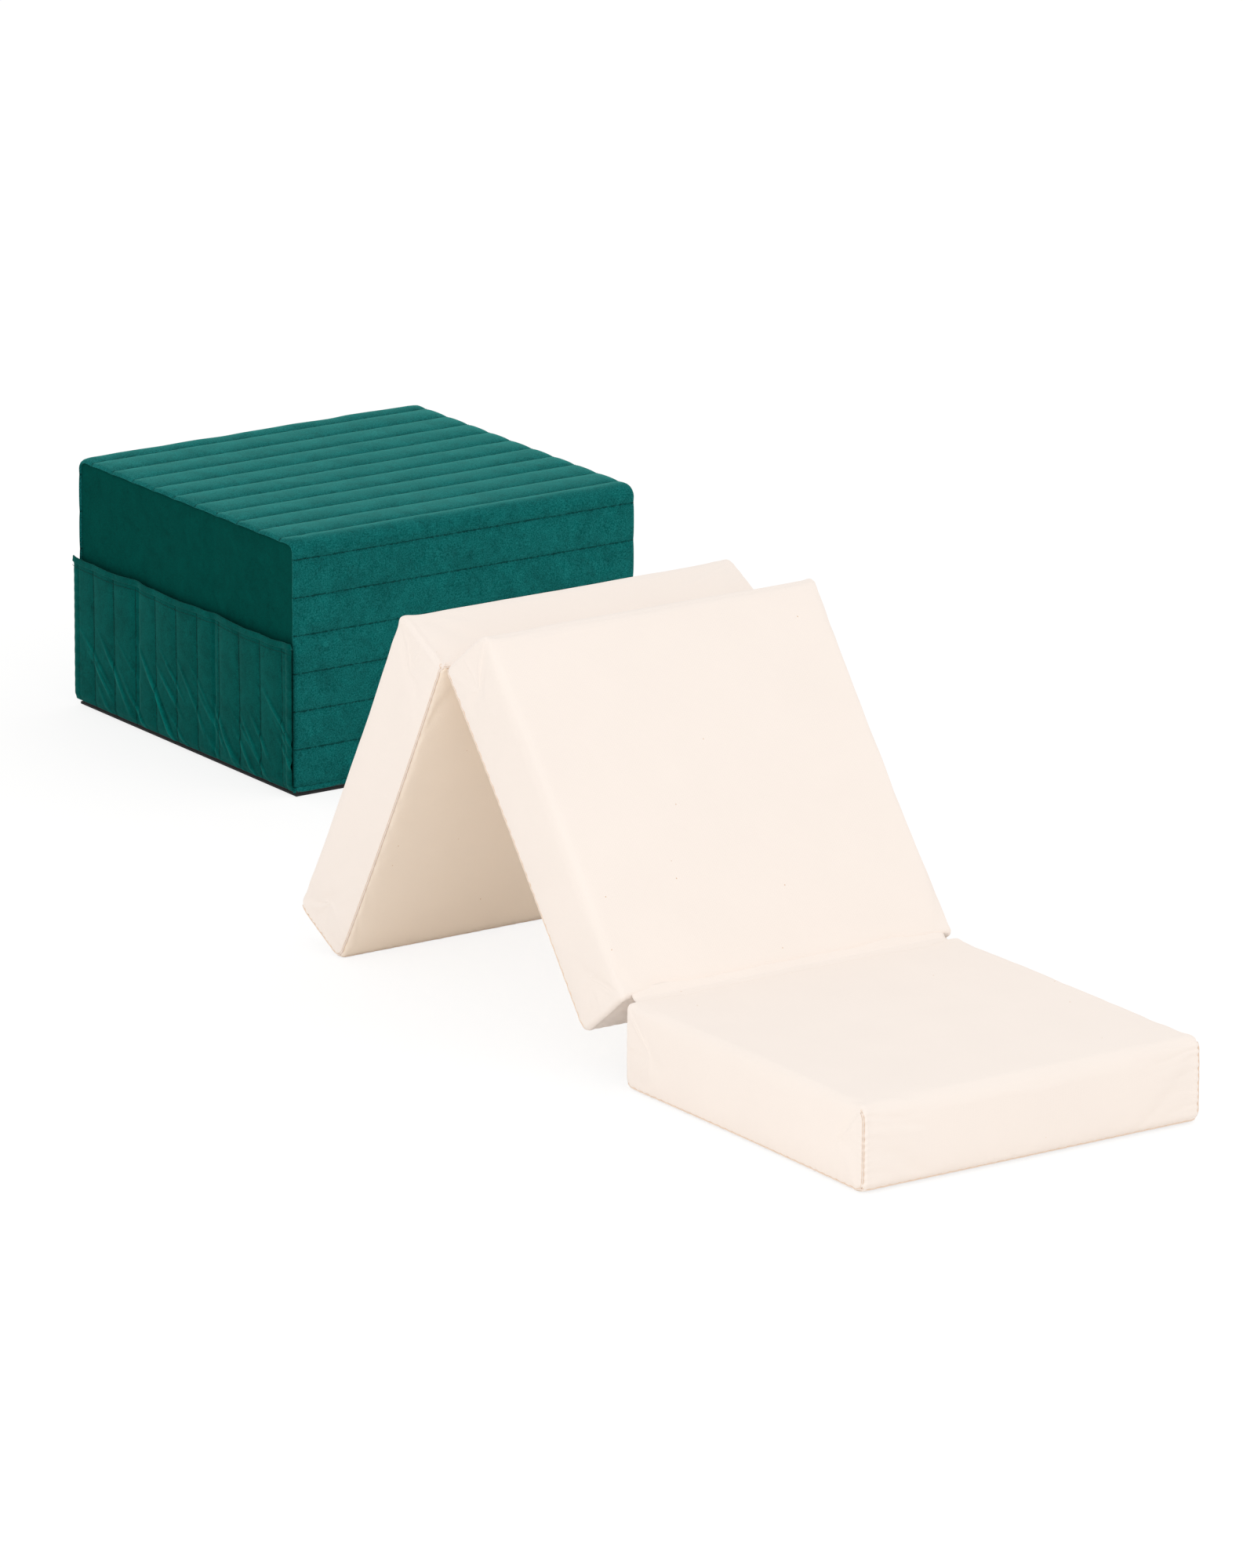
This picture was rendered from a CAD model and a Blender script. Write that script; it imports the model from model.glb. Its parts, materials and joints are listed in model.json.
import json
from math import cos, pi, radians, sin

import bmesh
import bpy
import numpy as np
from bpy.props import (
    EnumProperty, FloatProperty, FloatVectorProperty, IntProperty, PointerProperty, StringProperty,
)
from mathutils import Matrix, Vector, noise
from mathutils.kdtree import KDTree


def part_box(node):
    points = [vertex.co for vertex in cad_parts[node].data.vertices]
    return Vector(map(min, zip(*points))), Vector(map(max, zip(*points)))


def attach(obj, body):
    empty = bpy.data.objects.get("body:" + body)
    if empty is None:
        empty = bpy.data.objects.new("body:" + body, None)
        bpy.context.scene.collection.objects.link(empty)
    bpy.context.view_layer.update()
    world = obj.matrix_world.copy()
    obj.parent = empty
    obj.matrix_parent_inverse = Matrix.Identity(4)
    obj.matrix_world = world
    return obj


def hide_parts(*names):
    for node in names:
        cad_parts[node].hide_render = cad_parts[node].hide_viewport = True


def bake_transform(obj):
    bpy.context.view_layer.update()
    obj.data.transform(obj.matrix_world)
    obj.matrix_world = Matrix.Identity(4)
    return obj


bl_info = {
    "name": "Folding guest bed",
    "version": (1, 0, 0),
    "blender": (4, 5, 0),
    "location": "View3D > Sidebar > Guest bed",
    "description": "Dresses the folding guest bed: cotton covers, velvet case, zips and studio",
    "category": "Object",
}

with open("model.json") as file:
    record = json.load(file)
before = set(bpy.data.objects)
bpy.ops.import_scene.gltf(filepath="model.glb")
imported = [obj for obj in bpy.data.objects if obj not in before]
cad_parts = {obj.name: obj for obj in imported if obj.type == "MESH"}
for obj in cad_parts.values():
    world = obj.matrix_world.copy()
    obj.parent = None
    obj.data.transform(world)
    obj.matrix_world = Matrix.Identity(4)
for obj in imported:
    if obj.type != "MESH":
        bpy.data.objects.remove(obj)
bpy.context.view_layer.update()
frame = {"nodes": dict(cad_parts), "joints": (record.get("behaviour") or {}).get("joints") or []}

MM = 0.001
SECTIONS = ("front", "middle", "rear")
HANDS = {"left": -1, "right": 1}
JOINTS = {joint["name"]: joint for joint in frame["joints"]}


def metres(name, description, default):
    """A length in metres."""
    return FloatProperty(name=name, description=description, default=default, subtype="DISTANCE")


def hex_colour(name, description, default):
    """A hex sRGB colour."""
    return StringProperty(name=name, description=description, default=default)


def case_side():
    """A choice of the case's left or right side."""
    sides = [(side, side.title(), f"The {side} side") for side in HANDS]
    return EnumProperty(name="Side", description="Which side of the case", items=sides)


class MattressSettings(bpy.types.PropertyGroup):
    """Sizes and colours of the mattress and its cotton cover."""

    length: metres("Section length", "One section from end to end", 0.646)
    width: metres("Width", "The mattress from side to side", 0.650)
    thickness: metres("Thickness", "One section from face to face", 0.140)
    free_radius: metres("Free corner radius", "Roll of an end that no fold joins", 0.018)
    fold_radius: metres("Fold corner radius", "Roll of an end at a fold", 0.009)
    side_roll: metres("Side roll", "Roll of the long edges", 0.009)
    crown: metres("Crown", "How far a face swells in its middle", 0.0026)
    end_bulge: metres("End bulge", "How far an end swells", 0.0018)
    side_draw: metres("Side draw", "How far a long side is pulled in between corners", 0.004)
    seam_height: metres("Seam height", "The underside seam above the underside", 0.004)
    ridge: metres("Seam ridge", "How far a seam stands out", 0.0016)
    pucker: metres("Pucker", "Height of the little gathers beside a seam", 0.0018)
    ease: FloatProperty(
        name="Cloth ease", description="How much larger than the foam the cotton is cut",
        default=0.006, subtype="FACTOR",
    )
    cotton: hex_colour("Cotton", "Colour of the cotton cover", "#FCF1E8")
    underside_cotton: hex_colour("Underside cotton", "Colour of the underside's cotton", "#FFF0DF")
    thread: hex_colour("Thread", "Colour of the sewing thread", "#F3E2D0")
    seam_thread: hex_colour("Seam thread", "Thread down in the seams", "#F8DEC6")


class CaseSettings(bpy.types.PropertyGroup):
    """Sizes and colours of the velvet case."""

    puff: metres("Channel puff", "How far a quilted channel swells", 0.0048)
    pitch: metres("Channel pitch", "From one stitch line to the next", 0.066)
    first_line: metres("First stitch line", "The lowest stitch line above the floor", 0.015)
    corner_radius: metres("Corner radius", "Roll of the wrap's upper edges", 0.014)
    hem_drop: metres("Hem drop", "How far the velvet hangs over the zip", 0.0045)
    rim_roll: metres("Rim roll", "Roll of the wrap's side edges", 0.006)
    dents: metres("Dents", "Depth of the soft dents in the padding", 0.0016)
    drags: IntProperty(name="Drags", description="Slanting folds on each pocket", default=9)
    drag: metres("Drag folds", "Height of the slanting folds on the pockets", 0.0044)
    wrap_velvet: hex_colour("Wrap velvet", "Velvet of the wrap", "#00504D")
    side_velvet: hex_colour("Side velvet", "Velvet of the sides", "#00413B")
    pocket_velvet: hex_colour("Pocket velvet", "Velvet of the pockets", "#004540")
    lining: hex_colour("Lining", "Colour of the lining cloth", "#4A4E4D")
    floor_cloth: hex_colour("Floor cloth", "Cloth of the floor panel", "#141516")


class StudioSettings(bpy.types.PropertyGroup):
    """The camera and the floor."""

    focal_px: FloatProperty(
        name="Focal length", description="In pixels of the photo's frame", default=14000.0
    )
    centre_px: FloatVectorProperty(
        name="Optical centre", description="Where the camera points in the photo", size=2,
        default=(764.6, 1032.2),
    )
    turn: FloatVectorProperty(
        name="Turn", description="Yaw, pitch and roll in degrees", size=3,
        default=(-34.452, 16.447, 0.27),
    )
    place: FloatVectorProperty(
        name="Place", description="The camera's place", size=3, default=(-9.7062, -13.2784, 5.3368),
        subtype="TRANSLATION",
    )
    floor: hex_colour("Floor", "Colour of the floor", "#F8F6F4")


class GuestBedSettings(bpy.types.PropertyGroup):
    """All the settings of the bed."""

    mattress: PointerProperty(type=MattressSettings, name="Mattress", description="The mattress")
    case: PointerProperty(type=CaseSettings, name="Case", description="The velvet case")
    studio: PointerProperty(type=StudioSettings, name="Studio", description="Camera and light")


def settings():
    """The scene's settings of this bed."""
    return bpy.context.scene.guest_bed


# Finishes


def linear(text, share=1.0):
    """A hex sRGB colour as the linear one that a shader takes, with this share of its light."""
    values = [int(text[i : i + 2], 16) / 255 for i in (1, 3, 5)]
    light = [v / 12.92 if v <= 0.04045 else ((v + 0.055) / 1.055) ** 2.4 for v in values]
    return tuple(value * share for value in light) + (1.0,)


def feed(tree, node, inputs):
    """Fills a node's inputs: one given as (node, output) is linked, any other is set."""
    for name, value in inputs.items():
        if isinstance(value, tuple) and isinstance(value[0], bpy.types.Node):
            tree.links.new(value[0].outputs[value[1]], node.inputs[name])
        else:
            node.inputs[name].default_value = value


def add_node(tree, kind, inputs=None, **options):
    """Adds a node with its settings and fills its inputs."""
    node = tree.nodes.new(kind)
    for name, value in options.items():
        setattr(node, name, value)
    feed(tree, node, inputs or {})
    return node


def new_material(name):
    """An empty node material with its Principled shader and its output."""
    finish = bpy.data.materials.new(name)
    finish.use_nodes = True
    tree = finish.node_tree
    tree.nodes.clear()
    shader = add_node(tree, "ShaderNodeBsdfPrincipled")
    add_node(tree, "ShaderNodeOutputMaterial", {"Surface": (shader, "BSDF")})
    return finish, tree, shader


def weave_scale(thread_pitch_mm):
    """The wave texture draws sin(20 x scale x place): this scale gives one wave to two threads."""
    return pi / (thread_pitch_mm * MM) / 20


def spot_scale(size_mm):
    """The scale at which a noise or Voronoi texture draws spots of this size."""
    return 1 / (size_mm * MM)


def cotton_percale(name, colour, thread_pitch_mm=1.6):
    """Unbleached plain-woven cotton: matt, warm white, with a few darker seed flecks. The real thread
    spacing is about 0.4 mm and cannot show, so the weave is drawn four times as coarse."""
    finish, tree, shader = new_material(name)
    place = add_node(tree, "ShaderNodeTexCoord")
    bands = [
        add_node(
            tree, "ShaderNodeTexWave",
            {"Vector": (place, "UV"), "Scale": weave_scale(thread_pitch_mm), "Distortion": 1.5,
             "Detail": 1.0, "Detail Scale": 2.0},
            bands_direction=axis,
        )
        for axis in ("X", "Y")
    ]
    weave = add_node(
        tree, "ShaderNodeMath", {0: (bands[0], "Fac"), 1: (bands[1], "Fac")}, operation="MULTIPLY"
    )
    # Thicker and thinner places in the yarn, over some 10 cm
    slub = add_node(
        tree, "ShaderNodeTexNoise",
        {"Vector": (place, "Object"), "Scale": spot_scale(111.1), "Detail": 4.0},
    )
    tone = add_node(
        tree, "ShaderNodeMix",
        {"Factor": (slub, "Fac"), "A": linear(colour), "B": linear(colour, 0.965)}, data_type="RGBA",
    )
    # A seed fleck of about two millimetres in one cell of six
    cells = add_node(
        tree, "ShaderNodeTexVoronoi",
        {"Vector": (place, "Object"), "Scale": spot_scale(23.81), "Randomness": 1.0},
    )
    fleck = add_node(
        tree, "ShaderNodeMapRange",
        {"Value": (cells, "Distance"), "From Min": 0.03, "From Max": 0.055, "To Min": 1.0,
         "To Max": 0.0},
    )
    pick = add_node(tree, "ShaderNodeSeparateColor", {"Color": (cells, "Color")})
    few = add_node(tree, "ShaderNodeMath", {0: (pick, "Red"), 1: 0.82}, operation="GREATER_THAN")
    specks = add_node(
        tree, "ShaderNodeMath", {0: (fleck, "Result"), 1: (few, "Value")}, operation="MULTIPLY"
    )
    flecked = add_node(
        tree, "ShaderNodeMix",
        {"Factor": (specks, "Value"), "A": (tone, "Result"), "B": linear("#D9B48E")}, data_type="RGBA",
    )
    bump = add_node(
        tree, "ShaderNodeBump", {"Height": (weave, "Value"), "Strength": 0.12, "Distance": 0.0004}
    )
    feed(tree, shader, {
        "Base Color": (flecked, "Result"), "Normal": (bump, "Normal"), "Roughness": 0.88, "IOR": 1.54,
        "Specular IOR Level": 0.25, "Sheen Weight": 0.12, "Sheen Roughness": 0.5,
    })
    return finish


def polyester_velvet(name, colour, worn, sheen, nap, channels=None):
    """Short-pile polyester velvet: deep colour with greyer pile tips, a soft bright edge from the
    upright pile, cloudy marks where it was brushed, pile pressed dark into the stitch lines, and pile
    that opens and pales on the crest of a fold, which the piece's "ridge" attribute gives. The pile is
    about 0.5 mm apart and is drawn at 2 mm, so that it shows."""
    finish, tree, shader = new_material(name)
    place = add_node(tree, "ShaderNodeTexCoord")
    pile = add_node(
        tree, "ShaderNodeTexNoise",
        {"Vector": (place, "Object"), "Scale": spot_scale(2.174), "Detail": 3.0},
    )
    tips = add_node(
        tree, "ShaderNodeMapRange",
        {"Value": (pile, "Fac"), "From Min": 0.36, "From Max": 0.64, "To Min": 0.0, "To Max": 1.0},
    )
    tone = add_node(
        tree, "ShaderNodeMix", {"Factor": (tips, "Result"), "A": linear(colour), "B": linear(worn)},
        data_type="RGBA",
    )
    # Broad brushed clouds, and small rubbed blots that are only ever darker
    cloudy = add_node(
        tree, "ShaderNodeTexNoise",
        {"Vector": (place, "Object"), "Scale": spot_scale(41.67), "Detail": 6.0,
         "Roughness": 0.7, "Distortion": 0.5},
    )
    brushed = add_node(
        tree, "ShaderNodeMapRange",
        {"Value": (cloudy, "Fac"), "From Min": 0.36, "From Max": 0.64, "To Min": 1 - nap,
         "To Max": 1 + nap},
    )
    blots = add_node(
        tree, "ShaderNodeTexNoise",
        {"Vector": (place, "Object"), "Scale": spot_scale(14.286), "Detail": 5.0, "Roughness": 0.75},
    )
    rubbed = add_node(
        tree, "ShaderNodeMapRange",
        {"Value": (blots, "Fac"), "From Min": 0.30, "From Max": 0.46, "To Min": 1 - 1.8 * nap,
         "To Max": 1.0},
    )
    shades = [(brushed, "Result"), (rubbed, "Result")]
    if channels is not None:
        # The UV map counts channels: its whole numbers are the stitch lines
        run = add_node(tree, "ShaderNodeSeparateXYZ", {"Vector": (place, "UV")})
        share = add_node(tree, "ShaderNodeMath", {0: (run, "X")}, operation="FRACT")
        rest = add_node(tree, "ShaderNodeMath", {0: 1.0, 1: (share, "Value")}, operation="SUBTRACT")
        from_line = add_node(
            tree, "ShaderNodeMath", {0: (share, "Value"), 1: (rest, "Value")}, operation="MINIMUM"
        )
        ragged = add_node(
            tree, "ShaderNodeTexNoise",
            {"Vector": (place, "Object"), "Scale": spot_scale(6.667), "Detail": 3.0},
        )
        loose = add_node(
            tree, "ShaderNodeMapRange",
            {"Value": (ragged, "Fac"), "From Min": 0.35, "From Max": 0.65, "To Min": -0.010,
             "To Max": 0.016},
        )
        near = add_node(
            tree, "ShaderNodeMath", {0: (from_line, "Value"), 1: (loose, "Result")}, operation="ADD"
        )
        pressed = add_node(
            tree, "ShaderNodeMapRange",
            {"Value": (near, "Value"), "From Min": 0.006, "From Max": 0.032, "To Min": 0.46,
             "To Max": 1.0},
        )
        valley = add_node(
            tree, "ShaderNodeMapRange",
            {"Value": (from_line, "Value"), "From Min": 0.0, "From Max": 0.16, "To Min": 1 - channels,
             "To Max": 1.0},
            interpolation_type="SMOOTHSTEP",
        )
        shades += [(valley, "Result"), (pressed, "Result")]
    ridge = add_node(tree, "ShaderNodeAttribute", attribute_name="ridge")
    lit = add_node(
        tree, "ShaderNodeMath", {0: (ridge, "Fac"), 1: 1.05, 2: 1.0}, operation="MULTIPLY_ADD"
    )
    value = (lit, "Value")
    for shade in shades:
        value = (add_node(tree, "ShaderNodeMath", {0: value, 1: shade}, operation="MULTIPLY"), "Value")
    shaded = add_node(tree, "ShaderNodeHueSaturation", {"Value": value, "Color": (tone, "Result")})
    bump = add_node(
        tree, "ShaderNodeBump", {"Height": (pile, "Fac"), "Strength": 0.4, "Distance": 0.0006}
    )
    feed(tree, shader, {
        "Base Color": (shaded, "Color"), "Normal": (bump, "Normal"), "Roughness": 0.85, "IOR": 1.57,
        "Specular IOR Level": 0.012, "Sheen Weight": sheen, "Sheen Roughness": 0.42,
        "Sheen Tint": linear("#5CB4AA"),
    })
    return finish


def woven_cloth(name, colour, thread_pitch_mm=1.2, roughness=0.75, strength=0.3, shade=0.75):
    """Plain-woven polyester of linings, tapes and floor panels: small checks of warp and weft that
    shade it a little, with a dull shine. Its threads are drawn two to four times as coarse as real."""
    finish, tree, shader = new_material(name)
    place = add_node(tree, "ShaderNodeTexCoord")
    bands = [
        add_node(
            tree, "ShaderNodeTexWave",
            {"Vector": (place, "Object"), "Scale": weave_scale(thread_pitch_mm), "Distortion": 0.4},
            bands_direction=axis,
        )
        for axis in ("X", "Y", "Z")
    ]
    pair = add_node(
        tree, "ShaderNodeMath", {0: (bands[0], "Fac"), 1: (bands[1], "Fac")}, operation="ADD"
    )
    weave = add_node(
        tree, "ShaderNodeMath", {0: (pair, "Value"), 1: (bands[2], "Fac")}, operation="ADD"
    )
    height = add_node(tree, "ShaderNodeMath", {0: (weave, "Value"), 1: 3.0}, operation="DIVIDE")
    tone = add_node(
        tree, "ShaderNodeMix",
        {"Factor": (height, "Value"), "A": linear(colour, shade), "B": linear(colour)},
        data_type="RGBA",
    )
    bump = add_node(
        tree, "ShaderNodeBump", {"Height": (height, "Value"), "Strength": strength, "Distance": 0.0005}
    )
    feed(tree, shader, {
        "Base Color": (tone, "Result"), "Normal": (bump, "Normal"), "Roughness": roughness,
        "IOR": 1.57, "Specular IOR Level": 0.3,
    })
    return finish


def plated_metal(name, colour="#B9BCBE"):
    """Nickel-plated zinc: bright, with the faint unevenness of a small tumbled casting."""
    finish, tree, shader = new_material(name)
    place = add_node(tree, "ShaderNodeTexCoord")
    grain = add_node(
        tree, "ShaderNodeTexNoise",
        {"Vector": (place, "Object"), "Scale": spot_scale(1.1111), "Detail": 3.0},
    )
    rough = add_node(
        tree, "ShaderNodeMapRange", {"Value": (grain, "Fac"), "To Min": 0.18, "To Max": 0.36}
    )
    tone = add_node(
        tree, "ShaderNodeMix", {"Factor": (grain, "Fac"), "A": linear(colour), "B": linear("#D4D6D7")},
        data_type="RGBA",
    )
    bump = add_node(
        tree, "ShaderNodeBump", {"Height": (grain, "Fac"), "Strength": 0.1, "Distance": 0.0001}
    )
    feed(tree, shader, {
        "Base Color": (tone, "Result"), "Normal": (bump, "Normal"), "Roughness": (rough, "Result"),
        "Metallic": 1.0,
    })
    return finish


def nylon(name, colour, shine=0.5):
    """Extruded nylon of zip teeth and thread: smooth, slightly waxy, uneven from turn to turn."""
    finish, tree, shader = new_material(name)
    place = add_node(tree, "ShaderNodeTexCoord")
    grain = add_node(
        tree, "ShaderNodeTexNoise",
        {"Vector": (place, "Object"), "Scale": spot_scale(2.5), "Detail": 2.0},
    )
    tone = add_node(
        tree, "ShaderNodeMix",
        {"Factor": (grain, "Fac"), "A": linear(colour, 0.82), "B": linear(colour)}, data_type="RGBA",
    )
    bump = add_node(
        tree, "ShaderNodeBump", {"Height": (grain, "Fac"), "Strength": 0.15, "Distance": 0.0002}
    )
    feed(tree, shader, {
        "Base Color": (tone, "Result"), "Normal": (bump, "Normal"), "Roughness": 0.42, "IOR": 1.53,
        "Specular IOR Level": shine,
    })
    return finish


def material(key):
    """The finish of this name, made the first time that it is asked for."""
    if key in bpy.data.materials:
        return bpy.data.materials[key]
    mattress, case = settings().mattress, settings().case
    makers = {
        "cotton_percale": lambda: cotton_percale(key, mattress.cotton),
        "cotton_underside": lambda: cotton_percale(key, mattress.underside_cotton),
        "cotton_thread": lambda: nylon(key, mattress.thread),
        "seam_thread": lambda: nylon(key, mattress.seam_thread, shine=0.1),
        "cream_zip_nylon": lambda: nylon(key, "#FAF0E4"),
        "cream_zip_weave": lambda: woven_cloth(key, "#FFF7EE", shade=0.92),
        "velvet_wrap": lambda: polyester_velvet(key, case.wrap_velvet, "#196D6B", 0.66, 0.15, 0.07),
        "velvet_side": lambda: polyester_velvet(key, case.side_velvet, "#00463F", 0.05, 0.10),
        "velvet_pocket": lambda: polyester_velvet(
            key, case.pocket_velvet, "#04504B", 0.36, 0.17, 0.03
        ),
        "green_thread": lambda: nylon(key, "#02332E", shine=0.04),
        "lining_taffeta": lambda: woven_cloth(key, case.lining, 1.0, roughness=0.6, strength=0.2),
        "black_oxford": lambda: woven_cloth(key, case.floor_cloth, 1.6),
        "black_zip_nylon": lambda: nylon(key, "#101112"),
        "nickel_plate": lambda: plated_metal(key),
    }
    return makers[key]()


def finish_node(name, finish):
    """Gives its finish to a node that keeps its CAD shape."""
    materials = frame["nodes"][name].data.materials
    materials.clear()
    materials.append(material(finish))


# Meshes


def grid_faces(rows, columns, closed=False):
    """Quads between rows of points; each row has this many points and may close into a ring."""
    ends = columns if closed else columns - 1
    faces = []
    for row in range(rows - 1):
        for column in range(ends):
            a = row * columns + column
            b = row * columns + (column + 1) % columns
            faces.append((a, b, b + columns, a + columns))
    return faces


def tube_faces(rows, count):
    """Faces of a tube of closed rings, with both its ends closed."""
    last = (rows - 1) * count
    faces = grid_faces(rows, count, closed=True)
    return faces + [tuple(reversed(range(count))), tuple(last + i for i in range(count))]


def sheet_faces(rows, count):
    """Faces of a thick cloth: its outer grid, the inner grid that follows it, and the rim between."""
    wall = rows * count
    faces = grid_faces(rows, count)
    faces += [tuple(wall + i for i in reversed(face)) for face in faces]
    border = [(0, c) for c in range(count)] + [(r, count - 1) for r in range(1, rows)]
    border += [(rows - 1, c) for c in range(count - 2, -1, -1)]
    border += [(r, 0) for r in range(rows - 2, 0, -1)]
    border = [row * count + column for row, column in border]
    for a, b in zip(border, border[1:] + border[:1]):
        faces.append((a, b, b + wall, a + wall))
    return faces


def welded(points, faces):
    """Joins points that coincide. Returns the points kept, the faces and where each old point went."""
    keys = np.round(points * 1e6).astype(np.int64)
    _, first, place = np.unique(keys, axis=0, return_index=True, return_inverse=True)
    place = place.reshape(-1)
    kept = []
    for face in faces:
        corners = []
        for corner in face:
            where = int(place[corner])
            if where not in corners:
                corners.append(where)
        if len(corners) > 2:
            kept.append(corners)
    return points[first], kept, place


def new_piece(name, points, faces, finishes, uvs=None):
    """A mesh object of this name in the scene, smooth, closed and facing outwards, with its finishes
    and its UV map, which is its places along X and Y in metres if none is given."""
    mesh = bpy.data.meshes.new(name)
    mesh.from_pydata(np.asarray(points, float).tolist(), [], faces)
    for key in finishes:
        mesh.materials.append(material(key))
    mesh.shade_smooth()
    layer = mesh.uv_layers.new(name="cloth")
    loops = np.zeros(len(mesh.loops), np.int64)
    mesh.loops.foreach_get("vertex_index", loops)
    flat = np.asarray(points, float)[:, :2] if uvs is None else np.asarray(uvs, float)
    layer.data.foreach_set("uv", flat[loops].astype(np.float32).ravel())
    piece = bpy.data.objects.new(name, mesh)
    bpy.context.scene.collection.objects.link(piece)
    recalculate(piece)
    return piece


def recalculate(piece):
    """Turns every face of a closed mesh outwards."""
    work = bmesh.new()
    work.from_mesh(piece.data)
    bmesh.ops.recalc_face_normals(work, faces=work.faces)
    work.to_mesh(piece.data)
    work.free()


def subdivided(piece):
    """Smooths a piece by one subdivision and leaves it a plain mesh."""
    smooth = piece.modifiers.new("smooth", "SUBSURF")
    smooth.levels = smooth.render_levels = 1
    made_plain(piece)


def made_plain(piece):
    """Replaces a piece's mesh by its evaluated one, without modifiers."""
    graph = bpy.context.evaluated_depsgraph_get()
    graph.update()
    mesh = bpy.data.meshes.new_from_object(
        piece.evaluated_get(graph), preserve_all_data_layers=True, depsgraph=graph
    )
    old = piece.data
    piece.modifiers.clear()
    piece.data = mesh
    bpy.data.meshes.remove(old)


def coordinates(mesh):
    """A mesh's points as an array."""
    points = np.zeros(len(mesh.vertices) * 3, np.float32)
    mesh.vertices.foreach_get("co", points)
    return points.reshape(-1, 3).astype(float)


def normals_of(mesh):
    """A mesh's point normals as an array."""
    normals = np.zeros(len(mesh.vertices) * 3, np.float32)
    mesh.vertex_normals.foreach_get("vector", normals)
    return normals.reshape(-1, 3).astype(float)


def set_coordinates(mesh, points):
    """Writes the points back."""
    mesh.vertices.foreach_set("co", points.astype(np.float32).ravel())
    mesh.update()


def clouds(points, size, seed, octaves=1):
    """Smooth noise from about -1 to 1, with bumps of about this size."""
    shift = Vector((seed * 7.31, seed * 3.17, seed * 5.73))
    values = np.array([noise.noise(Vector(point) / size + shift) for point in points])
    if octaves > 1:
        values += clouds(points, size / 2, seed + 1, octaves - 1) / 2
    return values


def eased(share):
    """From 0 to 1 with soft starts and ends."""
    share = np.clip(share, 0, 1)
    return share * share * (3 - 2 * share)


def smoothed(values, rounds):
    """A path's values, evened along it; its ends stay."""
    values = np.array(values, float)
    for _ in range(rounds):
        values[1:-1] = (values[:-2] + 2 * values[1:-1] + values[2:]) / 4
    return values


def graded(length, fine, coarse):
    """Places from -length/2 to length/2, spaced finely at both ends and coarsely in the middle."""
    steps = [0.0]
    step = fine
    while steps[-1] + step < length / 2:
        steps.append(steps[-1] + step)
        step = min(coarse, step * 1.35)
    left = [place - length / 2 for place in steps]
    gap = -2 * left[-1]
    if gap < 0.6 * coarse:
        left.pop()
        gap = -2 * left[-1]
    inner = max(1, round(gap / coarse))
    middle = [left[-1] + gap * (k + 1) / inner for k in range(inner - 1)]
    return left + middle + [-place for place in reversed(left)]


def resampled(path, step):
    """A path's points at even steps, with its first and last kept."""
    path = np.asarray(path, float)
    run = np.concatenate([[0.0], np.cumsum(np.linalg.norm(np.diff(path, axis=0), axis=1))])
    count = max(2, int(round(run[-1] / step)) + 1)
    places = np.linspace(0, run[-1], count)
    return np.stack([np.interp(places, run, path[:, k]) for k in range(3)], 1)


def swept(name, paths, outwards, profile, finish):
    """A thin strip of the given profile along each path: profile points are (sideways, outwards)."""
    points, faces = [], []
    for path, normal in zip(paths, outwards):
        path, normal = np.asarray(path, float), np.asarray(normal, float)
        ahead = np.gradient(path, axis=0)
        ahead /= np.linalg.norm(ahead, axis=1, keepdims=True)
        side = np.cross(normal, ahead)
        side /= np.linalg.norm(side, axis=1, keepdims=True)
        base = len(points)
        for spot, across, out in zip(path, side, normal):
            points += [spot + across * a + out * b for a, b in profile]
        faces += [tuple(base + i for i in face) for face in tube_faces(len(path), len(profile))]
    return new_piece(name, points, faces, [finish])


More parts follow.
